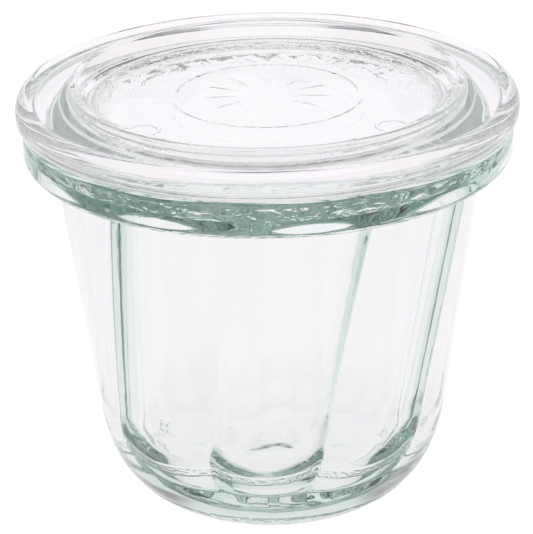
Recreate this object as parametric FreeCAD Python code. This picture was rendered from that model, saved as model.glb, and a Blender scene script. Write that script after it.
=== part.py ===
import FreeCAD, Part

import os
from math import atan2, cos, degrees, radians, sin, sqrt, tan

# Glass canning jar with a loose glass lid, in millimetres.
# The origin is at the centre of the base's standing plane, +Z up.
# Azimuths are measured from +X towards +Y; -Y is the front.

# ---- the rim, shared by the jar and the lid ----
LID_RADIUS = 35.0
LID_OVERHANG = 0.8           # lid beyond the jar's flange
RIM_WIDTH = 7.2              # sealing rim, from the mouth to the flange's edge
FLANGE_RADIUS = LID_RADIUS - LID_OVERHANG
MOUTH_RADIUS = FLANGE_RADIUS - RIM_WIDTH

# ---- jar: outside ----
FLANGE_TOP = 57.0            # height of the sealing rim
FLANGE_HEIGHT = 5.5          # rim to the underside of the flange
FLANGE_LIP_ROUND = 0.9       # upper outer edge of the flange
FLANGE_CHIN_ROUND = 1.6      # lower outer edge of the flange
NECK_ROUND = 1.2             # where the flange's underside meets the wall
HEEL_HEIGHT = 14.0           # where the tapered wall begins to round in
HEEL_RADIUS = 24.7           # outside radius at that height
HEEL_UPPER_ROUND = 24.0      # slow upper part of the heel
HEEL_BREAK = 22.5            # degrees from upright where the tighter part begins
BASE_DISH = 0.5              # depth of the shallow hollow under the base
BASE_STAND_WIDTH = 2.5       # width of the flat ring the jar stands on

# ---- jar: inside ----
MOUTH_DEPTH = 2.8            # plain bore above the ledge
MOUTH_ROUND = 0.8            # inner edge of the sealing rim
BORE_WALL = 3.0              # glass outside the bore, at the neck
NECK_WALL = 5.3              # wall at the neck, measured level, at a flute's hollow
WALL = 3.2                   # wall at the floor, measured level, at a flute's hollow
LEDGE_SLOPE = 38.66           # degrees the ledge falls from level, in to the fluted wall
FLOOR_HEIGHT = 7.5           # thickness of the base at its centre
FLOOR_ROUND = 10.0           # rounding from the wall to the floor

# ---- flutes ----
FLUTES = 8
RIB_HEIGHT = 2.0             # how far each rib stands in from the hollows
RIB_CREST = 0.045            # softness of the rib's crest, as a share of one flute
RIB_AZIMUTH = -99.0          # a rib's azimuth at the top of the fluted wall
SWIRL = -19.0                # turn of the ribs from the top to the floor

# ---- lid ----
RIM_THICKNESS = 4.0          # at the flat band
RIM_SHOULDER = 3.0           # rounding of the upper outer edge
RIM_UNDER_ROUND = 1.2        # rounding of the lower outer edge
RIDGE_SET_OUT = 0.6          # stacking ridge's outer face beyond the mouth
RIDGE_HEIGHT = 1.1           # above the flat band
RIDGE_TOP_WIDTH = 1.2
RIDGE_WIDTH = 3.6            # its outer face to its inner foot, the panel's edge
PANEL_DROP = 2.3             # ridge top down to the panel
PANEL_THICKNESS = 3.9
PLUG_CLEARANCE = 0.6         # between the lid's plug and the bore, on the radius
PLUG_FOOT_CLEARANCE = 0.4    # between the plug's foot and the bore's foot, on the height
PLUG_WIDTH = 2.6             # at its root
PLUG_DRAFT = 0.5             # lean of its inner face
GASKET_SEAT_DEPTH = 0.7      # groove for the sealing ring, in the lid
GASKET_SEAT_INSET = 1.0      # land left inside and outside the groove
MEDALLION_RADIUS = 13.0      # plain raised circle in the middle of the lid
MEDALLION_WIDTH = 0.8
MEDALLION_HEIGHT = 0.1

SECTION_POINTS = 10          # points per flute in each section of the fluted space

TOP = FreeCAD.Vector(0, 0, 1)
ORIGIN = FreeCAD.Vector(0, 0, 0)


class Outline:
    """A closed outline in the XZ half-plane, spun into a solid of revolution."""

    def __init__(self, radius, height):
        self.start = self.here = FreeCAD.Vector(radius, 0, height)
        self.edges = []

    def line(self, radius, height):
        there = FreeCAD.Vector(radius, 0, height)
        if there.distanceToPoint(self.here) > 1e-6:
            self.edges.append(Part.LineSegment(self.here, there).toShape())
        self.here = there
        return self

    def arc(self, centre, radius, start, end):
        """Arc round (r, z) from one angle to the other, in degrees from +r towards +z."""
        def point(angle):
            turn = radians(angle)
            return FreeCAD.Vector(centre[0] + radius * cos(turn), 0, centre[1] + radius * sin(turn))

        first, middle, last = point(start), point((start + end) / 2), point(end)
        self.line(first.x, first.z)
        self.edges.append(Part.Arc(first, middle, last).toShape())
        self.here = last
        return self

    def spin(self):
        self.line(self.start.x, self.start.z)
        return Part.Face(Part.Wire(self.edges)).revolve(ORIGIN, TOP, 360)


def heel():
    """The outer wall's taper and the two rounds that lead it down to the base."""
    neck = (MOUTH_RADIUS + BORE_WALL, FLANGE_TOP - FLANGE_HEIGHT)
    taper = degrees(atan2(neck[0] - HEEL_RADIUS, neck[1] - HEEL_HEIGHT))
    upper = (HEEL_RADIUS - HEEL_UPPER_ROUND * cos(radians(taper)),
             HEEL_HEIGHT + HEEL_UPPER_ROUND * sin(radians(taper)))
    turn = radians(HEEL_BREAK)
    meet = (upper[0] + HEEL_UPPER_ROUND * cos(turn), upper[1] - HEEL_UPPER_ROUND * sin(turn))
    lower_round = meet[1] / (1 - sin(turn))
    lower = (meet[0] - lower_round * cos(turn), lower_round)
    return neck, taper, upper, lower, lower_round


def outside_radius(height):
    """Outer radius of the wall or heel at a height."""
    neck, taper, upper, lower, lower_round = heel()
    if height >= HEEL_HEIGHT:
        return HEEL_RADIUS + (height - HEEL_HEIGHT) * tan(radians(taper))
    if height >= upper[1] - HEEL_UPPER_ROUND * sin(radians(HEEL_BREAK)):
        return upper[0] + sqrt(HEEL_UPPER_ROUND**2 - (upper[1] - height)**2)
    return lower[0] + sqrt(lower_round**2 - (lower[1] - height)**2)


def jar_blank():
    """The jar's outer form, with the plain bore of its mouth and the ledge's slope under it."""
    neck, taper, upper, lower, lower_round = heel()
    underside = neck[1]
    bore_floor = FLANGE_TOP - MOUTH_DEPTH
    stand = lower[0] - BASE_STAND_WIDTH
    dish_round = (stand**2 + BASE_DISH**2) / (2 * BASE_DISH)
    dish_angle = degrees(atan2(dish_round - BASE_DISH, stand))
    fillet = (neck[0] + NECK_ROUND, underside - NECK_ROUND)
    chin = (FLANGE_RADIUS - FLANGE_CHIN_ROUND, underside + FLANGE_CHIN_ROUND)
    lip = (FLANGE_RADIUS - FLANGE_LIP_ROUND, FLANGE_TOP - FLANGE_LIP_ROUND)
    mouth = (MOUTH_RADIUS + MOUTH_ROUND, FLANGE_TOP - MOUTH_ROUND)

    shape = Outline(0, BASE_DISH)
    shape.arc((0, BASE_DISH - dish_round), dish_round, 90, dish_angle)
    shape.arc(lower, lower_round, -90, -HEEL_BREAK)
    shape.arc(upper, HEEL_UPPER_ROUND, -HEEL_BREAK, -taper)
    shape.line(outside_radius(fillet[1]), fillet[1])
    shape.arc((outside_radius(fillet[1]) + NECK_ROUND, fillet[1]), NECK_ROUND, 180, 90)
    shape.arc(chin, FLANGE_CHIN_ROUND, -90, 0)
    shape.arc(lip, FLANGE_LIP_ROUND, 0, 90)
    shape.arc(mouth, MOUTH_ROUND, 90, 180)
    shape.line(MOUTH_RADIUS, bore_floor)
    shape.line(0, bore_floor - MOUTH_RADIUS * tan(radians(LEDGE_SLOPE)))
    return shape.spin()


def rib_share(part_of_flute):
    """How much of the rib's height stands at a place across one flute: 1 on its crest."""
    span = sqrt(0.25 + RIB_CREST**2) - RIB_CREST
    away = (sqrt(part_of_flute**2 + RIB_CREST**2) - RIB_CREST) / span
    return (1 - away)**2


def hollow_radius(height):
    """Radius of the fluted space in the hollows between the ribs."""
    top = FLANGE_TOP - MOUTH_DEPTH
    share = min(1, max(0, (height - FLOOR_HEIGHT) / (top - FLOOR_HEIGHT)))
    wall = WALL + (NECK_WALL - WALL) * share
    corner = FLOOR_HEIGHT + FLOOR_ROUND
    radius = outside_radius(max(height, corner)) - wall
    rise = corner - height
    if rise > 0:
        radius -= FLOOR_ROUND - sqrt(FLOOR_ROUND**2 - rise**2)
    return radius


def fluted_section(height):
    """One level outline of the fluted space, turned by its share of the swirl."""
    top = FLANGE_TOP - MOUTH_DEPTH
    turn = RIB_AZIMUTH + SWIRL * min(1, max(0, (top - height) / (top - FLOOR_HEIGHT)))
    points = []
    for step in range(FLUTES * SECTION_POINTS):
        place = step / SECTION_POINTS
        across = place - round(place)
        radius = hollow_radius(height) - RIB_HEIGHT * rib_share(across)
        angle = radians(turn + place * 360 / FLUTES)
        points.append(FreeCAD.Vector(radius * cos(angle), radius * sin(angle), height))
    curve = Part.BSplineCurve()
    curve.interpolate(points, PeriodicFlag=True)
    return Part.Wire(curve.toShape())


def fluted_space():
    """The space inside the wall: swirled flutes from the floor up to the foot of the bore."""
    top = FLANGE_TOP - MOUTH_DEPTH
    corner = FLOOR_HEIGHT + FLOOR_ROUND
    heights = [corner - FLOOR_ROUND * cos(radians(angle)) for angle in (0, 22, 42, 58, 74)]
    heights += [corner + (top - corner) * step / 8 for step in range(9)]
    return Part.makeLoft([fluted_section(height) for height in heights], True, False)


def jar():
    return jar_blank().cut(fluted_space()).removeSplitter()


def lid():
    """The loose lid: plug, gasket seat, rounded rim, stacking ridge and middle panel."""
    seat = FLANGE_TOP
    band = seat + RIM_THICKNESS
    ridge = band + RIDGE_HEIGHT
    panel = ridge - PANEL_DROP
    plug_radius = MOUTH_RADIUS - PLUG_CLEARANCE
    plug_inside = plug_radius - PLUG_WIDTH
    plug_foot = seat - MOUTH_DEPTH + PLUG_FOOT_CLEARANCE
    groove_inside = MOUTH_RADIUS + MOUTH_ROUND + GASKET_SEAT_INSET
    groove_outside = FLANGE_RADIUS - FLANGE_LIP_ROUND - GASKET_SEAT_INSET
    under = (LID_RADIUS - RIM_UNDER_ROUND, seat + RIM_UNDER_ROUND)
    shoulder = (LID_RADIUS - RIM_SHOULDER, band - RIM_SHOULDER)
    ridge_outside = MOUTH_RADIUS + RIDGE_SET_OUT
    medallion = MEDALLION_RADIUS + MEDALLION_WIDTH / 2

    shape = Outline(0, panel - PANEL_THICKNESS)
    shape.line(plug_inside, panel - PANEL_THICKNESS)
    shape.line(plug_inside + PLUG_DRAFT, plug_foot)
    shape.line(plug_radius, plug_foot)
    shape.line(plug_radius, seat)
    shape.line(groove_inside, seat)
    shape.line(groove_inside, seat + GASKET_SEAT_DEPTH)
    shape.line(groove_outside, seat + GASKET_SEAT_DEPTH)
    shape.line(groove_outside, seat)
    shape.arc(under, RIM_UNDER_ROUND, -90, 0)
    shape.arc(shoulder, RIM_SHOULDER, 0, 90)
    shape.line(ridge_outside, band)
    shape.line(ridge_outside, ridge)
    shape.line(ridge_outside - RIDGE_TOP_WIDTH, ridge)
    shape.line(ridge_outside - RIDGE_WIDTH, panel)
    shape.line(medallion, panel)
    shape.line(medallion - MEDALLION_WIDTH * 0.25, panel + MEDALLION_HEIGHT)
    shape.line(medallion - MEDALLION_WIDTH * 0.75, panel + MEDALLION_HEIGHT)
    shape.line(medallion - MEDALLION_WIDTH, panel)
    shape.line(0, panel)
    return shape.spin()


os.makedirs("parts", exist_ok=True)
for name, shape in (("jar", jar()), ("lid", lid())):
    shape.exportStep(f"parts/{name}.step")
    box = shape.BoundBox
    print(f"{name}: {len(shape.Solids)} solid, valid {shape.isValid()}, volume {shape.Volume:.1f} mm3, "
          f"r {box.XMax:.2f}, z {box.ZMin:.2f} to {box.ZMax:.2f}")
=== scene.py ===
from collections import namedtuple
from math import atan2, cos, degrees, hypot, pi, radians, sin, sqrt, tan

import bpy
from mathutils import Matrix, Vector


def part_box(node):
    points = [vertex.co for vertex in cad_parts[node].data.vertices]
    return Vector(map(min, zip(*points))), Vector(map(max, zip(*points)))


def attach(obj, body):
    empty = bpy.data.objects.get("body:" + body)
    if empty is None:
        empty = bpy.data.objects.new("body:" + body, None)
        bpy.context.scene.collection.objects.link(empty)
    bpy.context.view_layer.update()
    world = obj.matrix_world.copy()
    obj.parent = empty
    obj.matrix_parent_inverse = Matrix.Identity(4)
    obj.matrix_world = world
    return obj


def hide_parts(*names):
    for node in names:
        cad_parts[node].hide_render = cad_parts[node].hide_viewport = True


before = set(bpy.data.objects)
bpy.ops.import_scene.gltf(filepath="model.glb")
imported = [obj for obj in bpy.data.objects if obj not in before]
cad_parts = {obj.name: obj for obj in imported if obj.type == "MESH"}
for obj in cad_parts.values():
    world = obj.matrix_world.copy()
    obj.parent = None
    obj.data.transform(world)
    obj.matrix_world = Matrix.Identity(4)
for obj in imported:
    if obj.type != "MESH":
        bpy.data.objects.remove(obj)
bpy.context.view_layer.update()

MM = 0.001

# ---------------------------------------------------------------- sizes: millimetres and degrees
JAR_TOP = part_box("jar")[1][2] / MM
JAR_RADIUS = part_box("jar")[1][0] / MM
LID_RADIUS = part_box("lid")[1][0] / MM
LID_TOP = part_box("lid")[1][2] / MM
SEGMENTS = 384
FREE = -9.0  # a least radius that never bites
NEAREST = 1e-4  # points of an outline nearer than this are one
MERGE = 0.002

# the flange and the mouth
FLANGE_HEIGHT = 5.5
FLANGE_LIP_ROUND = 0.9
FLANGE_CHIN_ROUND = 1.6
LIP_GAP = 0.04  # keeps the jar's skin off the lid's
MOUTH_RADIUS = 27.0
MOUTH_ROUND = 0.8
BORE_DEPTH = 2.8
BORE_FOOT = 0.2
LEDGE_SLOPE = 0.8  # radius lost for each millimetre down
LEDGE_SOFTNESS = 0.2
LEDGE_INSET = 0.3

# the outside of the body
NECK_RADIUS = 30.0
NECK_ROUND = 1.2
HEEL_HEIGHT = 14.0
HEEL_RADIUS = 24.7
HEEL_UPPER_ROUND = 24.0
HEEL_BREAK = 22.5
BASE_DISH = 0.5
BASE_STAND_WIDTH = 2.5

# the hollow and the ribs between its flutes
WALL = 3.2
NECK_WALL = 5.3
FLOOR = 7.5
FLOOR_ROUND = 10.0
FLUTES = 8
RIB_HEIGHT = 1.8
RIB_CREST = 0.03
RIB_AZIMUTH = -99.0
SWIRL = -19.0
NECK_BAND = 4.0
NECK_ROWS = 16
WALL_ROWS = 40
FLOOR_STEP = 5
MIDDLE_ROWS = 8

# the lid
RIM_THICKNESS = 4.0
RIM_SHOULDER = 1.96
RIM_UNDER_ROUND = 1.2
RIDGE_OUT = 27.6
RIDGE_FOOT_ROUND = 0.3
RIDGE_OUT_ROUND = 0.4
RIDGE_IN = 26.4
RIDGE_IN_ROUND = 0.5
PANEL_RADIUS = 24.0
PANEL_ROUND = 0.8
PANEL_DROP = 2.3
PANEL_THICKNESS = 3.9
PLUG_CLEARANCE = 0.6
PLUG_FOOT_CLEARANCE = 0.4
PLUG_WIDTH = 2.6
PLUG_DRAFT = 0.5
PLUG_ROUND = 0.5
PLUG_INNER_ROUND = 0.6
GROOVE_FROM_PLUG = 2.4
GROOVE_FROM_EDGE = 1.9
GROOVE_DEPTH = 0.7
GROOVE_ROUND = 0.2
RING_RADIUS = 13.0
RING_FOOT = 0.5
RING_CREST = 0.2
RING_HEIGHT = 0.06
SOFT_EDGE = 0.3
ROSETTE_OUT = 10.6
ROSETTE_IN = 3.0
ROSETTE_HEIGHT = 0.05
ROSETTE_ROWS = 24
ROSETTE_HUB = (2.0, 1.0, 0.0)
PETALS = 12
PETAL_EDGES = (-0.1, 0.6)  # where a petal's side starts and ends, on a wave from -1 to 1

# the glass and the relief on its skin; depths are millimetres
CLEAR = (1, 1, 1, 1)
REFRACTION = 1.52
TINT = (0.62, 0.765, 0.705, 1)
JAR_DENSITY = 24.0
LID_DENSITY = 5.0
RIPPLE_SCALE = 160.0
RIPPLE_DEPTH = 0.04
MOTTLE_SCALE = 250.0
MOTTLE_STRETCH = 2.0
MOTTLE_FOOT = 52.1
MOTTLE_DEPTH = 1.6
LID_MOTTLE_DEPTH = 0.3
PLUG_SKIN_RADIUS = 22.5
STIPPLE_SCALE = 900.0
STIPPLE_IN = 17.5
STIPPLE_OUT = 20.0
STIPPLE_SOFT = 1.0
STIPPLE_TOP = 6.0
STIPPLE_DEPTH = 0.4
SPOT_ASIDE = 16.8
SPOT_AHEAD = 13.5
SPOT_RADIUS = 2.2
SPOT_WIDTH = 0.2
SPOT_SOFT = 0.25
SPOT_FOOT = 1.5
SPOT_HEIGHT = 0.15
SKIN_EDGE = 0.2

# the studio: a direction's upward or sideways part, from 0 to 1, sets where the sky dims
ROOM_TINT = (1.0, 0.96, 1.0, 1)
WHITE = (1, 1, 1, 1)
ROOM_DARK = 0.03
ROOM_LOW = 0.72
ROOM_HIGH = 0.86
ROOM_SOFT = 0.08
SIDE_FROM = 0.35
SIDE_TO = 0.55
SIDE_LEVEL = 0.25
SIDE_RISE_FROM = 0.15
SIDE_RISE_TO = 0.45
GROUND_COLOUR = (0.3, 0.3, 0.3, 1)
GROUND_GLOW = 0.88
GROUND_WHITE = 0.08
GROUND_REACH = 3.0  # metres
GROUND_DROP = 0.0001  # metres
BOUNCES = 24

# the camera, in metres
LENS = 213.27
SENSOR = 36
EYE = (0, -0.41375, 0.20631)
TARGET = (-0.00055, 0, 0.03387)
LEAN = 1.1


# ---------------------------------------------------------------- node maths
class Maths:
    """A socket in a node tree. Operators add Math nodes, and node() adds any other node."""

    def __init__(self, tree, socket):
        self.tree = tree
        self.socket = socket

    def output(self, name):
        return Maths(self.tree, self.socket.node.outputs[name])

    def node(self, kind, settings=None, *values, out=0, **named):
        made = self.tree.nodes.new(kind)
        for key, value in (settings or {}).items():
            setattr(made, key, value)
        for key, value in (dict(enumerate(values)) | named).items():
            socket = made.inputs[key if isinstance(key, int) else key.replace("_", " ")]
            if isinstance(value, Maths):
                self.tree.links.new(value.socket, socket)
            elif value is not None:
                socket.default_value = value
        return Maths(self.tree, made.outputs[out])

    def call(self, operation, *others):
        return self.node("ShaderNodeMath", {"operation": operation}, self, *others)

    def _reflected(self, operation, other):
        return self.node("ShaderNodeMath", {"operation": operation}, other, self)

    def __add__(self, other):
        return self.call("ADD", other)

    def __radd__(self, other):
        return self._reflected("ADD", other)

    def __sub__(self, other):
        return self.call("SUBTRACT", other)

    def __rsub__(self, other):
        return self._reflected("SUBTRACT", other)

    def __mul__(self, other):
        return self.call("MULTIPLY", other)

    def __rmul__(self, other):
        return self._reflected("MULTIPLY", other)

    def __truediv__(self, other):
        return self.call("DIVIDE", other)

    def __rtruediv__(self, other):
        return self._reflected("DIVIDE", other)


def slide(value, low, high, start, end):
    """Goes smoothly from one level to another as a value crosses two limits."""
    settings = {"interpolation_type": "SMOOTHSTEP"}
    return value.node("ShaderNodeMapRange", settings, value, low, high, start, end)


def band(value, low, high, soft):
    """1 between two limits, fading over a soft margin outside each."""
    return slide(value, low - soft, low, 0.0, 1.0) * slide(value, high, high + soft, 1.0, 0.0)


def blend(share, first, second):
    """Mixes two colours by a share from 0 to 1."""
    skipped = [None] * 5
    return share.node("ShaderNodeMix", {"data_type": "RGBA"}, share, *skipped, first, second, out=2)


# ---------------------------------------------------------------- outlines
class Outline:
    """Points along the half outline of a round piece."""

    def __init__(self, step):
        self.step = step
        self.points = []

    def add(self, radius, height):
        last = self.points[-1] if self.points else (FREE, FREE)
        if hypot(radius - last[0], height - last[1]) > NEAREST:
            self.points.append((radius, height))

    def line(self, radius, height, step=None):
        start = self.points[-1]
        out = radius - start[0]
        up = height - start[1]
        count = max(1, round(hypot(out, up) / (step or self.step)))
        for i in range(1, count + 1):
            self.add(start[0] + out * i / count, start[1] + up * i / count)

    def arc(self, centre, radius, start, end, parts):
        """Angles are in degrees, from straight outwards and turning upwards."""
        for i in range(parts + 1):
            turn = radians(start + (end - start) * i / parts)
            self.add(centre[0] + radius * cos(turn), centre[1] + radius * sin(turn))


def rounded(corners, step):
    """A line through (radius, height, rounding) corners, each corner rounded by its own radius."""
    straight = 0.01
    coarsest = radians(12)
    most = 0.49  # of a side, so that the roundings at its two ends stay apart
    path = Outline(step)
    path.add(*corners[0][:2])
    for before, corner, after in zip(corners, corners[1:], corners[2:]):
        place = Vector(corner[:2])
        back = Vector(before[:2]) - place
        on = Vector(after[:2]) - place
        angle = back.angle(on)
        if corner[2] == 0 or angle > pi - straight:
            path.line(*place)
            continue
        reach = min(corner[2] / tan(angle / 2), most * back.length, most * on.length)
        size = reach * tan(angle / 2)
        first = place + back.normalized() * reach
        last = place + on.normalized() * reach
        middle = place + (back.normalized() + on.normalized()).normalized() * (size / sin(angle / 2))
        path.line(*first)
        start = atan2(first.y - middle.y, first.x - middle.x)
        turn = atan2(last.y - middle.y, last.x - middle.x) - start
        turn = (turn + pi) % (2 * pi) - pi
        parts = max(3, round(abs(turn) / coarsest))
        path.arc(middle, size, degrees(start), degrees(start + turn), parts)
    path.line(*corners[-1][:2])
    return path.points


# ---------------------------------------------------------------- the lathe
Row = namedtuple("Row", "radius height rib turn boss least", defaults=(0.0, 0.0, 0.0, FREE))


def rib_depth(flute, rib, crest):
    """How far a rib stands in: all of it on the rib's crest, and none in the middle of a flute."""
    across = flute - flute.call("ROUND")
    span = (crest * crest + 0.25).call("SQRT") - crest
    away = ((across * across + crest * crest).call("SQRT") - crest) / span
    return rib * (1.0 - away) * (1.0 - away)


def lathe_tree():
    """Spins rows into a closed skin, with ribs that stand in and petals that stand up."""
    tree = bpy.data.node_groups.new("lathe", "GeometryNodeTree")
    face = tree.interface
    face.new_socket("Geometry", in_out="INPUT", socket_type="NodeSocketGeometry")
    for name, kind in (("Segments", "Int"), ("Rows", "Int"), ("Flutes", "Int"), ("Crest", "Float"),
                       ("Petals", "Int"), ("Finish", "Material")):
        face.new_socket(name, in_out="INPUT", socket_type="NodeSocket" + kind)
    face.new_socket("Geometry", in_out="OUTPUT", socket_type="NodeSocketGeometry")
    outline = Maths(tree, tree.nodes.new("NodeGroupInput").outputs["Geometry"])
    end = tree.nodes.new("NodeGroupOutput")
    segments = outline.output("Segments")
    rows = outline.output("Rows")

    grid = outline.node("GeometryNodeMeshGrid", {}, 1.0, 1.0, segments + 1, rows)
    index = grid.node("GeometryNodeInputIndex")
    row = index.call("MODULO", rows)
    share = (index / rows).call("FLOOR") / segments

    def sample(kind, value):
        return outline.node("GeometryNodeSampleIndex", {"data_type": kind}, outline, value, row)

    def attribute(name):
        named = outline.node("GeometryNodeInputNamedAttribute", {"data_type": "FLOAT"}, name)
        return sample("FLOAT", named)

    place = sample("FLOAT_VECTOR", outline.node("GeometryNodeInputPosition"))
    split = place.node("ShaderNodeSeparateXYZ", {}, place)
    depth = rib_depth(share * outline.output("Flutes"), attribute("rib"), outline.output("Crest"))
    radius = (split - depth).call("SMOOTH_MAX", attribute("least"), LEDGE_SOFTNESS * MM)
    petal = (share * outline.output("Petals") * (2 * pi)).call("COSINE")
    height = split.output("Z") + attribute("boss") * slide(petal, *PETAL_EDGES, 0.0, 1.0)
    angle = share * (2 * pi) + attribute("turn")
    spun = angle.node("ShaderNodeCombineXYZ", {}, radius * angle.call("COSINE"),
                      radius * angle.call("SINE"), height)
    shaped = grid.node("GeometryNodeSetPosition", {}, grid, None, spun)
    closed = shaped.node("GeometryNodeMergeByDistance", {}, shaped, None, MERGE * MM)
    smooth = closed.node("GeometryNodeSetShadeSmooth", {}, closed)
    real = smooth.node("GeometryNodeRealizeInstances", {}, smooth)
    done = real.node("GeometryNodeSetMaterial", {}, real, None, outline.output("Finish"))
    tree.links.new(done.socket, end.inputs[0])
    return tree


def lathe(name, rows, finish, tree):
    """A plain mesh from rows that the lathe tree spins."""
    mesh = bpy.data.meshes.new(name + "_outline")
    mesh.from_pydata([(row.radius * MM, 0, row.height * MM) for row in rows], [], [])
    mesh.materials.append(finish)
    for key in ("rib", "turn", "boss", "least"):
        values = mesh.attributes.new(key, "FLOAT", "POINT")
        scale = 1 if key == "turn" else MM
        values.data.foreach_set("value", [getattr(row, key) * scale for row in rows])
    holder = bpy.data.objects.new(name + "_holder", mesh)
    bpy.context.scene.collection.objects.link(holder)
    modifier = holder.modifiers.new("lathe", "NODES")
    modifier.node_group = tree
    values = {"Segments": SEGMENTS, "Rows": len(rows), "Flutes": FLUTES, "Crest": RIB_CREST,
              "Petals": PETALS, "Finish": finish}
    for item in tree.interface.items_tree:
        if item.in_out == "INPUT" and item.name in values:
            modifier[item.identifier] = values[item.name]
    view = bpy.context.evaluated_depsgraph_get()
    made = bpy.data.meshes.new_from_object(holder.evaluated_get(view), depsgraph=view)
    holder.modifiers.remove(modifier)
    bpy.data.objects.remove(holder)
    made.name = name
    piece = bpy.data.objects.new(name, made)
    bpy.context.scene.collection.objects.link(piece)
    return piece


# ---------------------------------------------------------------- jar
UNDERSIDE = JAR_TOP - FLANGE_HEIGHT
LEDGE = JAR_TOP - BORE_DEPTH
TAPER = atan2(NECK_RADIUS - HEEL_RADIUS, UNDERSIDE - HEEL_HEIGHT)
BREAK = radians(HEEL_BREAK)
UPPER = Vector((HEEL_RADIUS - HEEL_UPPER_ROUND * cos(TAPER), HEEL_HEIGHT + HEEL_UPPER_ROUND * sin(TAPER)))
MEET = UPPER + HEEL_UPPER_ROUND * Vector((cos(BREAK), -sin(BREAK)))
LOWER_ROUND = MEET.y / (1 - sin(BREAK))
LOWER = Vector((MEET.x - LOWER_ROUND * cos(BREAK), LOWER_ROUND))
CORNER = FLOOR + FLOOR_ROUND


def outside(height):
    """The body's outer radius: a tapered wall on two heel arcs."""
    if height >= HEEL_HEIGHT:
        return HEEL_RADIUS + (height - HEEL_HEIGHT) * tan(TAPER)
    if height >= MEET.y:
        return UPPER.x + sqrt(HEEL_UPPER_ROUND**2 - (UPPER.y - height)**2)
    return LOWER.x + sqrt(LOWER_ROUND**2 - (LOWER.y - height)**2)


def climb(height):
    """0 at the floor of the hollow and 1 at the ledge under the mouth."""
    return min(1, max(0, (height - FLOOR) / (LEDGE - FLOOR)))


def inside(height):
    """The radius of the hollow, in the middle of a flute."""
    radius = outside(max(height, CORNER)) - WALL - (NECK_WALL - WALL) * climb(height)
    if height < CORNER:
        radius -= FLOOR_ROUND - sqrt(max(0, FLOOR_ROUND**2 - (CORNER - height)**2))
    return min(radius, MOUTH_RADIUS - LEDGE_INSET)


def jar_skin():
    """The outside, from the middle of the dished base over the flange and down to the ledge."""
    top = JAR_TOP - LIP_GAP
    stand = LOWER.x - BASE_STAND_WIDTH
    dish_round = (stand**2 + BASE_DISH**2) / (2 * BASE_DISH)
    dish_end = degrees(atan2(dish_round - BASE_DISH, stand))
    wall_top = UNDERSIDE - NECK_ROUND
    skin = Outline(step=1.2)
    skin.arc((0, BASE_DISH - dish_round), dish_round, 90, dish_end, parts=10)
    skin.line(LOWER.x, 0, step=1.3)
    skin.arc(LOWER, LOWER_ROUND, -90, -HEEL_BREAK, parts=16)
    skin.arc(UPPER, HEEL_UPPER_ROUND, -HEEL_BREAK, -degrees(TAPER), parts=5)
    skin.line(outside(wall_top), wall_top, step=3.0)
    skin.arc((outside(wall_top) + NECK_ROUND, wall_top), NECK_ROUND, 180, 90, parts=5)
    chin = (JAR_RADIUS - FLANGE_CHIN_ROUND, UNDERSIDE + FLANGE_CHIN_ROUND)
    skin.arc(chin, FLANGE_CHIN_ROUND, -90, 0, parts=8)
    skin.line(JAR_RADIUS, top - FLANGE_LIP_ROUND, step=1.0)
    lip = (JAR_RADIUS - FLANGE_LIP_ROUND, top - FLANGE_LIP_ROUND)
    skin.arc(lip, FLANGE_LIP_ROUND, 0, 90, parts=7)
    skin.line(MOUTH_RADIUS + MOUTH_ROUND, top, step=1.5)
    skin.arc((MOUTH_RADIUS + MOUTH_ROUND, top - MOUTH_ROUND), MOUTH_ROUND, 90, 180, parts=7)
    skin.line(MOUTH_RADIUS, LEDGE + BORE_FOOT, step=0.5)
    return skin.points


def hollow_heights():
    """Heights down the hollow, close together at the neck and round the floor's corner."""
    neck_foot = LEDGE - NECK_BAND
    heights = [LEDGE - NECK_BAND * i / NECK_ROWS for i in range(NECK_ROWS + 1)]
    heights += [neck_foot + (CORNER - neck_foot) * i / WALL_ROWS for i in range(1, WALL_ROWS + 1)]
    heights += [CORNER - FLOOR_ROUND * sin(radians(turn)) for turn in range(FLOOR_STEP, 91, FLOOR_STEP)]
    return heights


def jar_rows():
    """The jar's rows. The ribs turn as they go down, and they fade out on the floor."""
    rows = [Row(radius, height, turn=radians(RIB_AZIMUTH)) for radius, height in jar_skin()]
    for height in hollow_heights():
        turn = radians(RIB_AZIMUTH + SWIRL * (1 - climb(height)))
        least = MOUTH_RADIUS - (LEDGE - height) * LEDGE_SLOPE
        rows.append(Row(inside(height), height, RIB_HEIGHT, turn, least=least))
    edge = rows[-1]
    for i in range(1, MIDDLE_ROWS + 1):
        share = 1 - i / MIDDLE_ROWS
        rows.append(Row(edge.radius * share, FLOOR, edge.rib * share, edge.turn))
    return rows


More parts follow.
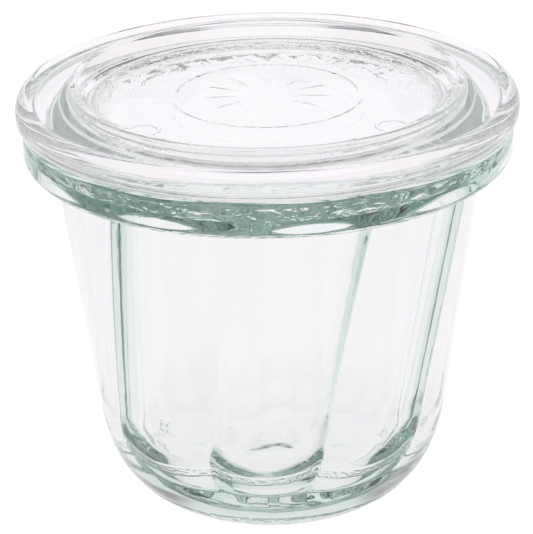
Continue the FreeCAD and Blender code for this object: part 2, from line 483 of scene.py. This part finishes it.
# ---------------------------------------------------------------- lid
def lid_outline():
    """From the middle of the underside, round the plug, the rim and the ridge, to the rosette."""
    rim = JAR_TOP + RIM_THICKNESS
    panel = LID_TOP - PANEL_DROP
    under = panel - PANEL_THICKNESS
    foot = LEDGE + PLUG_FOOT_CLEARANCE
    plug = MOUTH_RADIUS - PLUG_CLEARANCE
    inner = plug - PLUG_WIDTH
    groove_in = plug + GROOVE_FROM_PLUG
    groove_out = JAR_RADIUS - GROOVE_FROM_EDGE
    groove_top = JAR_TOP + GROOVE_DEPTH
    ring = panel + RING_HEIGHT
    return rounded([
        (0, under, 0),
        (inner, under, PLUG_INNER_ROUND),
        (inner + PLUG_DRAFT, foot, PLUG_ROUND),
        (plug, foot, PLUG_ROUND),
        (plug, JAR_TOP, SOFT_EDGE),
        (groove_in, JAR_TOP, GROOVE_ROUND),
        (groove_in, groove_top, GROOVE_ROUND),
        (groove_out, groove_top, GROOVE_ROUND),
        (groove_out, JAR_TOP, GROOVE_ROUND),
        (LID_RADIUS, JAR_TOP, RIM_UNDER_ROUND),
        (LID_RADIUS, rim, RIM_SHOULDER),
        (RIDGE_OUT, rim, RIDGE_FOOT_ROUND),
        (RIDGE_OUT, LID_TOP, RIDGE_OUT_ROUND),
        (RIDGE_IN, LID_TOP, RIDGE_IN_ROUND),
        (PANEL_RADIUS, panel, PANEL_ROUND),
        (RING_RADIUS + RING_FOOT, panel, SOFT_EDGE),
        (RING_RADIUS + RING_CREST, ring, SOFT_EDGE),
        (RING_RADIUS - RING_CREST, ring, SOFT_EDGE),
        (RING_RADIUS - RING_FOOT, panel, SOFT_EDGE),
        (ROSETTE_OUT, panel, 0)], step=1.0)


def lid_rows():
    """The lid's rows, with a rosette of low petals in the middle of the panel."""
    panel = LID_TOP - PANEL_DROP
    rows = [Row(radius, height) for radius, height in lid_outline()]
    for step in range(1, ROSETTE_ROWS + 1):
        share = step / ROSETTE_ROWS
        radius = ROSETTE_OUT + (ROSETTE_IN - ROSETTE_OUT) * share
        rows.append(Row(radius, panel, boss=ROSETTE_HEIGHT * sin(pi * share)**2))
    rows += [Row(radius, panel) for radius in ROSETTE_HUB]
    return rows


# ---------------------------------------------------------------- glass
def glass(name, relief_of, density):
    """Clear pressed glass: a green tint that grows with thickness, and its own relief on the skin."""
    finish = bpy.data.materials.new(name)
    finish.use_nodes = True
    tree = finish.node_tree
    tree.nodes.clear()
    end = Maths(tree, tree.nodes.new("ShaderNodeOutputMaterial").inputs["Surface"])
    place = end.node("ShaderNodeTexCoord", {}, out="Object")
    split = place.node("ShaderNodeSeparateXYZ", {}, place)
    x, y, z = (split.output(axis) / MM for axis in "XYZ")
    ripple = place.node("ShaderNodeTexNoise", {}, Vector=place, Scale=RIPPLE_SCALE, Detail=2.0)
    relief = ripple * RIPPLE_DEPTH + relief_of(place, x, y, z)
    bump = relief.node("ShaderNodeBump", {}, Strength=1.0, Distance=MM, Height=relief)
    skin = bump.node("ShaderNodeBsdfPrincipled", {}, Base_Color=CLEAR, Roughness=0.0, IOR=REFRACTION,
                     Transmission_Weight=1.0, Normal=bump)
    body = bump.node("ShaderNodeVolumeAbsorption", {}, Color=TINT, Density=density)
    tree.links.new(skin.socket, end.socket)
    tree.links.new(body.socket, end.socket.node.inputs["Volume"])
    return finish


def mottle(place):
    """Low waves, drawn out round the piece."""
    stretch = (1.0, 1.0, MOTTLE_STRETCH)
    drawn_out = place.node("ShaderNodeVectorMath", {"operation": "MULTIPLY"}, place, stretch)
    return place.node("ShaderNodeTexNoise", {}, Vector=drawn_out, Scale=MOTTLE_SCALE, Detail=3.0,
                      Distortion=0.6)


def jar_relief(place, x, y, z):
    """Uneven pressing inside the neck, and a stippled ring under the base."""
    radius = (x * x + y * y).call("SQRT")
    grain = place.node("ShaderNodeTexNoise", {}, Vector=place, Scale=STIPPLE_SCALE, Detail=1.0)
    ring = band(radius, STIPPLE_IN, STIPPLE_OUT, STIPPLE_SOFT) * z.call("LESS_THAN", STIPPLE_TOP)
    neck = z.call("GREATER_THAN", MOTTLE_FOOT) * radius.call("LESS_THAN", MOUTH_RADIUS + SKIN_EDGE)
    return ring * grain * STIPPLE_DEPTH + neck * mottle(place) * MOTTLE_DEPTH


def lid_relief(place, x, y, z):
    """Uneven pressing of the plug, and two small plain rings on the panel."""
    radius = (x * x + y * y).call("SQRT")
    plug = z.call("LESS_THAN", JAR_TOP - SKIN_EDGE) * radius.call("GREATER_THAN", PLUG_SKIN_RADIUS)
    aside = x.call("ABSOLUTE") - SPOT_ASIDE
    ahead = y + SPOT_AHEAD
    away = (aside * aside + ahead * ahead).call("SQRT")
    panel = z.call("GREATER_THAN", JAR_TOP + SPOT_FOOT)
    spot = band(away, SPOT_RADIUS - SPOT_WIDTH, SPOT_RADIUS, SPOT_SOFT) * panel
    return plug * mottle(place) * LID_MOTTLE_DEPTH + spot * SPOT_HEIGHT


# ---------------------------------------------------------------- studio
def sky():
    """A white room, dimmer up its sides, with a dark band high up that the glass picks up."""
    world = bpy.data.worlds.new("studio")
    bpy.context.scene.world = world
    world.use_nodes = True
    tree = world.node_tree
    tree.nodes.clear()
    end = Maths(tree, tree.nodes.new("ShaderNodeOutputWorld").inputs["Surface"])
    seen = end.node("ShaderNodeLightPath", {}, out="Is Camera Ray")
    way = end.node("ShaderNodeTexCoord", {}, out="Generated")
    split = way.node("ShaderNodeSeparateXYZ", {}, way)
    up = split.output("Z")
    aside = slide(split.call("ABSOLUTE"), SIDE_FROM, SIDE_TO, 0.0, 1.0 - SIDE_LEVEL)
    sides = 1.0 - aside * slide(up, SIDE_RISE_FROM, SIDE_RISE_TO, 0.0, 1.0)
    dark = band(up, ROOM_LOW, ROOM_HIGH, ROOM_SOFT) * (1.0 - ROOM_DARK)
    level = seen.call("MAXIMUM", (1.0 - dark) * sides)
    shade = level.node("ShaderNodeBackground", {}, blend(seen, ROOM_TINT, WHITE), level)
    tree.links.new(shade.socket, end.socket)


def ground():
    """A pale floor that is white to the eye and through glass, and that keeps the shadow."""
    mesh = bpy.data.meshes.new("floor")
    sides = ((-1, -1), (1, -1), (1, 1), (-1, 1))
    corners = [(x * GROUND_REACH, y * GROUND_REACH, -GROUND_DROP) for x, y in sides]
    mesh.from_pydata(corners, [], [(0, 1, 2, 3)])
    finish = bpy.data.materials.new("floor")
    finish.use_nodes = True
    tree = finish.node_tree
    tree.nodes.clear()
    end = Maths(tree, tree.nodes.new("ShaderNodeOutputMaterial").inputs["Surface"])
    eye = end.node("ShaderNodeLightPath", {}, out="Is Camera Ray")
    seen = eye.call("MAXIMUM", eye.output("Is Glossy Ray"))
    seen = seen.call("MAXIMUM", eye.output("Is Transmission Ray"))
    skin = end.node("ShaderNodeBsdfDiffuse", {}, GROUND_COLOUR)
    strength = seen * GROUND_GLOW + eye * GROUND_WHITE
    glow = seen.node("ShaderNodeEmission", {}, blend(eye, ROOM_TINT, WHITE), strength)
    both = glow.node("ShaderNodeAddShader", {}, skin, glow)
    tree.links.new(both.socket, end.socket)
    mesh.materials.append(finish)
    floor = bpy.data.objects.new("floor", mesh)
    bpy.context.scene.collection.objects.link(floor)


def camera():
    """Looks down at the jar from in front, leaning a little."""
    data = bpy.data.cameras.new("camera")
    data.sensor_fit = "HORIZONTAL"
    data.sensor_width = SENSOR
    data.lens = LENS
    data.clip_start = 0.01
    data.clip_end = 50
    eye = bpy.data.objects.new("camera", data)
    bpy.context.scene.collection.objects.link(eye)
    away = (Vector(EYE) - Vector(TARGET)).normalized()
    right = Vector((0, 0, 1)).cross(away).normalized()
    up = away.cross(right)
    turn = Matrix((right, up, away)).transposed() @ Matrix.Rotation(-radians(LEAN), 3, "Z")
    eye.matrix_world = Matrix.Translation(EYE) @ turn.to_4x4()
    bpy.context.scene.camera = eye


LATHE = lathe_tree()
jar = lathe("jar_body", jar_rows(), glass("jar_glass", jar_relief, JAR_DENSITY), LATHE)
lid = lathe("lid_body", lid_rows(), glass("lid_glass", lid_relief, LID_DENSITY), LATHE)
for piece, node, slot in ((jar, "jar", "jar_glass"), (lid, "lid", "lid_glass")):
    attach(piece, "root")
    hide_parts(node)

sky()
ground()
camera()
scene = bpy.context.scene
scene.view_settings.view_transform = "Standard"
for kind in ("max", "glossy", "transmission"):
    setattr(scene.cycles, kind + "_bounces", BOUNCES)
